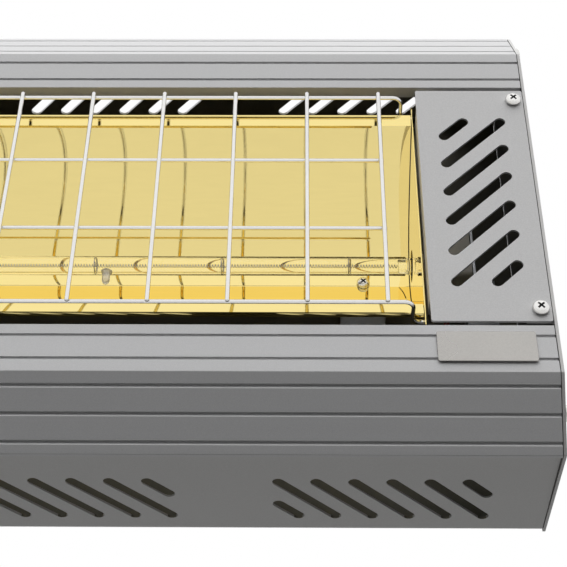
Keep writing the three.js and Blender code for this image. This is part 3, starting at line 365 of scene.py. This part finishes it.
camera = bpy.data.objects.new("camera", bpy.data.cameras.new("camera"))
bpy.context.scene.collection.objects.link(camera)
camera.data.sensor_width = 36.0
camera.data.lens = 88.661
# The camera's place and turn, in metres and radians, were solved from the photograph's straight edges.
CAMERA_PLACE = (0.1058, FRONT - 0.50919, -0.46008)
LOOK_UP = 0.6734
YAW = -0.01006
ROLL = 0.00233


def turned(first, second, angle):
    """Two axes turned in their own plane."""
    return (math.cos(angle) * first - math.sin(angle) * second,
            math.sin(angle) * first + math.cos(angle) * second)


right = Vector((1, 0, 0))
down = Vector((0, math.sin(LOOK_UP), -math.cos(LOOK_UP)))
ahead = Vector((0, math.cos(LOOK_UP), math.sin(LOOK_UP)))
right, ahead = turned(right, ahead, YAW)
right, down = turned(right, down, ROLL)
facing = Matrix((right, -down, -ahead)).transposed().to_4x4()
camera.matrix_world = Matrix.Translation(CAMERA_PLACE) @ facing
camera.data.clip_start = 0.05
bpy.context.scene.camera = camera

bpy.context.scene.view_settings.view_transform = "Standard"

# Camera, mirrors and glass see a plain white studio with a pale floor. Matt surfaces are lit by a
# soft key light high up in front and by a fill from above. FILL gives its strength by height, from
# straight down (0) to straight up (1), KEY by nearness to the direction KEY_WAY (1), and BEHIND the
# fill from straight behind, which fades to none at the sides.
FILL = ((0.0, 0.14), (0.22, 0.03), (0.55, 0.03), (0.68, 0.50), (1.0, 0.50))
KEY = ((0.85, 0.0), (0.95, 2.9))
KEY_WAY = (0.0, -0.454, 0.891)
BEHIND = 0.6


def seen_rays(n):
    """1 for the rays that see the studio itself: camera, glossy and transmission rays."""
    rays = n.add("LightPath")
    mirrored = n.math("MAXIMUM", rays.outputs["Is Glossy Ray"], rays.outputs["Is Transmission Ray"])
    return n.math("MAXIMUM", rays.outputs["Is Camera Ray"], mirrored)


world = bpy.data.worlds.new("studio")
bpy.context.scene.world = world
w = Nodes(world)
way = w.add("TexCoord").outputs["Generated"]
axes = w.add("SeparateXYZ")
w.feed(axes.inputs[0], way)
fill = w.ramp(w.math("MULTIPLY_ADD", axes.outputs["Z"], 0.5, 0.5), FILL)
nearness = w.add("VectorMath", operation="DOT_PRODUCT")
w.feed(nearness.inputs[0], way)
w.feed(nearness.inputs[1], KEY_WAY)
key = w.ramp(w.math("MULTIPLY_ADD", nearness.outputs["Value"], 0.5, 0.5), KEY)
background = w.add("Background")
behind = w.math("MULTIPLY", w.math("MAXIMUM", axes.outputs["Y"], 0.0), BEHIND)
lit = w.math("ADD", w.math("ADD", fill, key), behind)
w.feed(background.inputs["Color"], w.blend(seen_rays(w), lit, (1.0, 1.0, 1.0)))
w.feed(w.add("OutputWorld").inputs["Surface"], background.outputs[0])

FLOOR_REACH = 6.0
FLOOR_Z = -1.3
floor_mesh = bpy.data.meshes.new("floor")
floor_mesh.from_pydata([(-FLOOR_REACH, -FLOOR_REACH, FLOOR_Z), (FLOOR_REACH, -FLOOR_REACH, FLOOR_Z),
                        (FLOOR_REACH, FLOOR_REACH, FLOOR_Z), (-FLOOR_REACH, FLOOR_REACH, FLOOR_Z)],
                       [], [(0, 1, 2, 3)])
floor = bpy.data.objects.new("floor", floor_mesh)
bpy.context.scene.collection.objects.link(floor)
floor_paint = surface("studio_floor", (0.52, 0.52, 0.515), 0.7, 0.0, speckle=0.01, grain=60)
floor_mesh.materials.append(floor_paint)
# The floor is seen from above only, by the same rays as the white studio.
f = Nodes(floor_paint, fresh=False)
seen = f.add("MixShader")
above = f.math("SUBTRACT", 1.0, f.add("NewGeometry").outputs["Backfacing"])
f.feed(seen.inputs[0], f.math("MULTIPLY", seen_rays(f), above))
f.feed(seen.inputs[1], f.add("BsdfTransparent").outputs[0])
f.feed(seen.inputs[2], f.tree.nodes["Principled BSDF"].outputs[0])
f.feed(f.tree.nodes["Material Output"].inputs["Surface"], seen.outputs[0])


# ------------------------------------------------------------------ housing

MIDDLE = Vector((0, FRONT + 45 * MM, 0))


def faces_the_middle(centre, normal):
    """Whether a face of the casing looks inwards, seen along the housing."""
    return (Vector((0, centre.y, centre.z)) - MIDDLE).dot(normal) < -25 * MM


GROOVE_DEPTH = 0.8 * MM
GROOVE_WIDTH = 1.1 * MM
GROOVE_SPREAD = 0.28 * MM
GROOVE_FLARE = 0.75 * MM


def flared_section(node):
    """The rail's section, as a closed (y, z) outline.

    Its square grooves are widened in the front face and flared on one side in the slope.
    """
    bm = bmesh.new()
    bm.from_mesh(nodes[node].data)
    bmesh.ops.remove_doubles(bm, verts=bm.verts, dist=0.002 * MM)
    bmesh.ops.dissolve_limit(bm, angle_limit=math.radians(1.0), verts=bm.verts, edges=bm.edges)
    end = max(bm.faces, key=lambda face: (face.normal.x > 0.9, face.calc_area()))
    outline = [Vector((v.co.y, v.co.z)) for v in end.verts]
    bm.free()
    count = len(outline)
    moved = [point.copy() for point in outline]
    for k in range(count):
        a, b, c, d = (outline[(k + i) % count] for i in range(4))
        walls = ((a, b, GROOVE_DEPTH), (b, c, GROOVE_WIDTH), (c, d, GROOVE_DEPTH))
        if all(abs((q - p).length - length) < 0.05 * MM for p, q, length in walls):
            along = (d - a).normalized()
            in_the_face = abs(a.x - d.x) < 0.1 * MM
            if in_the_face:
                for i, way in ((0, -1), (1, -1), (2, 1), (3, 1)):
                    moved[(k + i) % count] += along * way * GROOVE_SPREAD
            elif abs(d.y) > abs(a.y):
                moved[(k + 3) % count] = d + along * GROOVE_FLARE
            else:
                moved[k] = a - along * GROOVE_FLARE
    return [(point.x, point.y) for point in moved]


for name in ("upper_front_rail", "lower_front_rail"):
    low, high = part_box(name)
    bm = extruded_x(flared_section(name), low.x, high.x)
    bmesh.ops.recalc_face_normals(bm, faces=bm.faces)
    bevel_sharp(bm, 0.18, 2)
    keep(to_object(name + "_piece", bm), name, sharp=50, weighted=True)
for name in ("reflector_cheek_left", "reflector_cheek_right", "wall_bracket", "terminal_block"):
    softened(name, 0.2)
# The casing's inward faces get a darker second material: painted shade for its dark inside.
lined(softened("rear_casing", 0.25), CASING_SHADE_INSIDE, faces_the_middle)
# The inward faces of the end plates and covers get a darker second material: painted shade for the dark
# inside.
for side, sign in SIDES:
    lined(softened("end_plate_" + side, 0.2), SHADE_INSIDE, lambda centre, normal: normal.x * sign < -0.9)
    lined(softened("end_cover_" + side, 0.45, 3), SHADE_INSIDE, lambda centre, normal: normal.y > 0.9)
    for name in ("reflector_bridge", "holder_bracket", "lamp_holder", "lamp_cap", "pinch_seal", "pivot_lug",
                 "pivot_bolt", "pivot_nut", "friction_washer"):
        softened(f"{name}_{side}", 0.2)

# ------------------------------------------------------------------ screws


HEAD_HEIGHT = 2.6
SHANK_LENGTH = 7.0
THREAD_RADIUS, CORE_RADIUS, THREAD_PITCH = 1.9, 1.55, 0.7
RECESS_TURN = 0.75
RECESS_DEPTH = 2.0


def pan_screw(node, axis, head_radius):
    """A pan-head screw with a cross recess, radius in millimetres. axis points out of the head."""
    low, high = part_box(node)
    axis = Vector(axis)
    top = (low + high) / 2
    index = max(range(3), key=lambda k: abs(axis[k]))
    top[index] = high[index] if axis[index] > 0 else low[index]
    r = head_radius
    end = -HEAD_HEIGHT - SHANK_LENGTH
    profile = [(0, 0), (r * 0.35, -0.03), (r * 0.60, -0.18), (r * 0.80, -0.55), (r * 0.93, -1.10),
               (r * 0.99, -1.75), (r, -2.2), (r * 0.985, -2.5), (r * 0.95, -HEAD_HEIGHT),
               (THREAD_RADIUS, -HEAD_HEIGHT)]
    along = -HEAD_HEIGHT
    while along > end + THREAD_PITCH:
        profile += [(THREAD_RADIUS, along - 0.15), (CORE_RADIUS, along - 0.5),
                    (THREAD_RADIUS, along - THREAD_PITCH)]
        along -= THREAD_PITCH
    profile += [(1.5, end + 0.1), (0, end)]
    screw = to_object(node + "_piece", lathe(profile, top, axis))
    turn = Vector((0, 0, 1)).rotation_difference(axis).to_matrix().to_4x4()
    wide, thin, above = 0.56 * r * MM, 0.13 * r * MM, 0.4 * MM
    upper = [(-wide, -thin, above), (wide, -thin, above), (wide, thin, above), (-wide, thin, above)]
    lower = [(x * 0.55, y * 0.8, -RECESS_DEPTH * MM) for x, y, _ in upper]
    for quarter in (RECESS_TURN, RECESS_TURN + math.pi / 2):
        bm = bmesh.new()
        for_wing = Matrix.Translation(top) @ turn @ Matrix.Rotation(quarter, 4, "Z")
        verts = [bm.verts.new(for_wing @ Vector(p)) for p in upper + lower]
        for face in ((0, 1, 2, 3), (7, 6, 5, 4), (0, 4, 5, 1), (1, 5, 6, 2), (2, 6, 7, 3), (3, 7, 4, 0)):
            bm.faces.new([verts[k] for k in face])
        subtract(screw, to_object("recess", bm))
    keep(screw, node, sharp=40)

    def in_recess(centre, normal):
        along = (centre - top).dot(axis)
        return -2.3 * MM < along < -0.12 * MM and ((centre - top) - axis * along).length < 0.5 * r * MM

    # The recess's walls get the near-black material: painted shade.
    return lined(screw, RECESS_SHADE, in_recess)


for side, sign in SIDES:
    for level in LEVELS:
        pan_screw(f"cover_screw_{side}_{level}", (0, -1, 0), 4.0)
        pan_screw(f"end_screw_{side}_{level}", (sign, 0, 0), 4.0)
    pan_screw(f"reflector_screw_{side}", (0, -1, 0), 3.5)

# ------------------------------------------------------------------ reflector

low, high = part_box("reflector")
# In millimetres: the parabola's focal length, its half height, the lip's height, the sheet, the
# return of the lip's hem and the parabola's vertex.
FOCAL = 14.7
TROUGH = 58.7
LIP = high.z / MM
WALL = 0.8
HEM = 3.0
VERTEX = FRONT / MM + 67.7


def parabola(z):
    """The trough's depth at a height."""
    return VERTEX - z * z / (4 * FOCAL)


def reflector_outline():
    """The trough's sheet with its two hemmed lips, as a closed (y, z) outline in metres."""
    steps = 180
    face, back = [], []
    for i in range(steps + 1):
        z = TROUGH * (2 * i / steps - 1)
        slope = z / (2 * FOCAL)
        scale = WALL / math.hypot(1, slope)
        face.append((parabola(z), z))
        back.append((parabola(z) + scale, z + slope * scale))
    lip_in = parabola(TROUGH)
    lip_out = low.y / MM
    top = [(lip_in - 0.15, TROUGH + 0.5), (lip_out + 0.12, LIP - 1.0), (lip_out + 0.02, LIP - 0.5),
           (lip_out + 0.2, LIP - 0.1), (lip_out + 0.6, LIP), (lip_out + HEM, LIP),
           (lip_out + HEM, LIP - 0.6), (lip_out + WALL, LIP - 0.6)]
    back[-1] = (lip_in + WALL, back[-1][1])
    back[0] = (lip_in + WALL, back[0][1])
    points = face + top + back[::-1] + [(y, -z) for y, z in reversed(top)]
    return [(y * MM, z * MM) for y, z in points]


trough = to_object("reflector_piece", extruded_x(reflector_outline(), low.x, high.x))
keep(trough, "reflector", sharp=25)

# ------------------------------------------------------------------ lamp

AXIS_Y = FRONT + 53.0 * MM  # the lamp's axis, on the parabola's focus
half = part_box("lamp_tube")[1].x / MM
BORE, OUTSIDE, ROUND = 4.7, 5.0, 0.15  # the tube's radii and the rounding of its ends
ring = [(BORE, -half + ROUND), (4.78, -half), (4.9, -half), (OUTSIDE, -half + ROUND),
        (OUTSIDE, half - ROUND), (4.9, half), (4.78, half), (BORE, half - ROUND), (BORE, -half + ROUND)]
keep(to_object("lamp_tube_piece", lathe(ring, (0, AXIS_Y, 0), (1, 0, 0), 64)), "lamp_tube", sharp=50)

# The sealed-off stem, where the lamp was filled.
stem = [(0, -1.2), (2.9, -0.9), (2.5, -0.1), (2.15, 0.8), (2.05, 2.2), (2.1, 3.8), (2.0, 5.2),
        (1.6, 6.4), (0.9, 7.2), (0, 7.5)]
STEM_X, STEM_TOP = 6.7 * MM, -4.8 * MM
glass = to_object("lamp_stem_piece", lathe(stem, (STEM_X, AXIS_Y, STEM_TOP), (0, 0, -1), 32))
keep(glass, slot_name="quartz")
glass.data.materials[0] = STEM

COIL_PITCH, COIL_RADIUS, COIL_WIRE, COIL_STEPS = 1.45 * MM, 0.85 * MM, 0.2 * MM, 14
coil_low, coil_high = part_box("lamp_filament")
points = []
count = int((coil_high.x - coil_low.x) / COIL_PITCH * COIL_STEPS)
for i in range(count + 1):
    a = 2 * math.pi * i / COIL_STEPS
    points.append((coil_low.x + i * COIL_PITCH / COIL_STEPS, AXIS_Y + COIL_RADIUS * math.cos(a),
                   COIL_RADIUS * math.sin(a)))
keep(to_object("lamp_filament_piece", swept(points, COIL_WIRE, 6)), "lamp_filament")
SUPPORT_PITCH, SUPPORT_WIRE = 65.8 * MM, 0.25 * MM
for number in range(-2, 3):
    # A support is a flat spiral of wire between the coil and the tube's wall.
    points = []
    for i in range(49):
        a = 2 * math.pi * i / 20
        reach = (1.05 + 3.3 * min(1.0, i / 28)) * MM
        points.append((number * SUPPORT_PITCH + SUPPORT_WIRE * i / 20, AXIS_Y + reach * math.cos(a),
                       reach * math.sin(a)))
    keep(to_object(f"filament_support_{number + 3}", swept(points, SUPPORT_WIRE, 8)), slot_name="tungsten")

# ------------------------------------------------------------------ wire guard

GUARD_RAIL = 1.0 * MM  # radii
GUARD_WIRE = 1.1 * MM
GUARD_LEG_X = 159.3 * MM
GUARD_BEND = 4.6 * MM
for name in ("guard_rail_upper", "guard_rail_lower"):
    low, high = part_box(name)
    y, z = (low.y + high.y) / 2, (low.z + high.z) / 2
    keep(to_object(name + "_piece", swept([(low.x, y, z), (high.x, y, z)], GUARD_RAIL)), name)
for name in ("guard_rail_top", "guard_rail_bottom"):
    low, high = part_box(name)
    z = (low.z + high.z) / 2
    rail_y, leg_y = low.y + GUARD_RAIL, high.y - GUARD_RAIL
    end, leg = high.x, GUARD_LEG_X
    path = rounded_path([(-end, leg_y, z), (-leg, leg_y, z), (-leg, rail_y, z), (leg, rail_y, z),
                         (leg, leg_y, z), (end, leg_y, z)], GUARD_BEND)
    keep(to_object(name + "_piece", swept(path, GUARD_RAIL)), name)
for number in range(1, 10):
    name = f"guard_wire_{number}"
    low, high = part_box(name)
    x, y = (low.x + high.x) / 2, (low.y + high.y) / 2
    keep(to_object(name + "_piece", swept([(x, y, low.z), (x, y, high.z)], GUARD_WIRE)), name)

# ------------------------------------------------------------------ cable gland

low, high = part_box("cable_gland")
gland_x, gland_z = (low.x + high.x) / 2, (low.z + high.z) / 2
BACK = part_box("rear_casing")[1].y
tip = (high.y - BACK) / MM


def hexagon(bm, across, y0, y1):
    """A hexagonal nut round the gland's axis with its corners turned off."""
    rings = []
    for y, reach in ((y0, across * 0.92), (y0 + 0.5, across), (y1 - 0.5, across), (y1, across * 0.92)):
        corners = [(reach * MM * math.cos(math.pi * k / 3), reach * MM * math.sin(math.pi * k / 3))
                   for k in range(6)]
        rings.append([bm.verts.new((gland_x + dx, BACK + y * MM, gland_z + dz)) for dx, dz in corners])
    for one, two in zip(rings, rings[1:]):
        for k in range(6):
            bm.faces.new((one[k], one[(k + 1) % 6], two[(k + 1) % 6], two[k]))
    bm.faces.new(rings[0])
    bm.faces.new(rings[-1])


nose = [(4.0, 0.0), (8.0, 0.0), (8.0, 6.2)]
along = 6.2
while along < tip - 3.4:
    nose += [(7.2, along + 0.3), (7.2, along + 0.9), (7.8, along + 1.2), (7.8, along + 1.8)]
    along += 1.8
nose += [(7.0, tip - 1.2), (6.2, tip - 0.3), (5.4, tip), (4.6, tip), (4.2, tip - 0.6), (4.0, tip - 2.0),
         (4.0, 0.0)]
bm = lathe(nose, (gland_x, BACK, gland_z), (0, 1, 0), 40)
hexagon(bm, 10.8, 0.1, 6.0)
keep(to_object("cable_gland_piece", bm), "cable_gland", sharp=30)
nut = [(4.2, 0), (8.0, 0), (8.0, 1.6), (4.2, 1.6), (4.2, 0)]
inner = lathe(nut, (gland_x, BACK - 3.2 * MM, gland_z), (0, 1, 0), 40)
keep(to_object("cable_gland_nut", inner), slot_name=SLOT_OF["cable_gland"], sharp=30)

# ------------------------------------------------------------------ badge and leads

softened("badge_plate", 0.3)
# Each lead leaves its lamp holder's back and runs behind the trough to the terminal block.
# Depths are from the housing's front, in millimetres.
LEAD_X, LEAD_Z, HOLDER_BACK, SETBACK = 184.5, -7.5, 65.1, 80.0
BLOCK_TOP, BLOCK_LEFT, BLOCK_Z = -60.0, 170.9, -69.0
LEAD_RADIUS, LEAD_BEND = 1.45 * MM, 8.0 * MM
routes = {
    "right": [(LEAD_X, HOLDER_BACK, LEAD_Z), (LEAD_X, SETBACK, LEAD_Z),
              (LEAD_X, SETBACK, BLOCK_TOP + 0.1)],
    "left": [(-LEAD_X, HOLDER_BACK, LEAD_Z), (-LEAD_X, SETBACK, LEAD_Z), (-LEAD_X, SETBACK, BLOCK_Z),
             (BLOCK_LEFT - 0.1, SETBACK, BLOCK_Z)],
}
for side, corners in routes.items():
    path = rounded_path([(x * MM, FRONT + y * MM, z * MM) for x, y, z in corners], LEAD_BEND, 12)
    keep(to_object(f"lamp_lead_{side}_piece", swept(path, LEAD_RADIUS)), "lamp_lead_" + side)
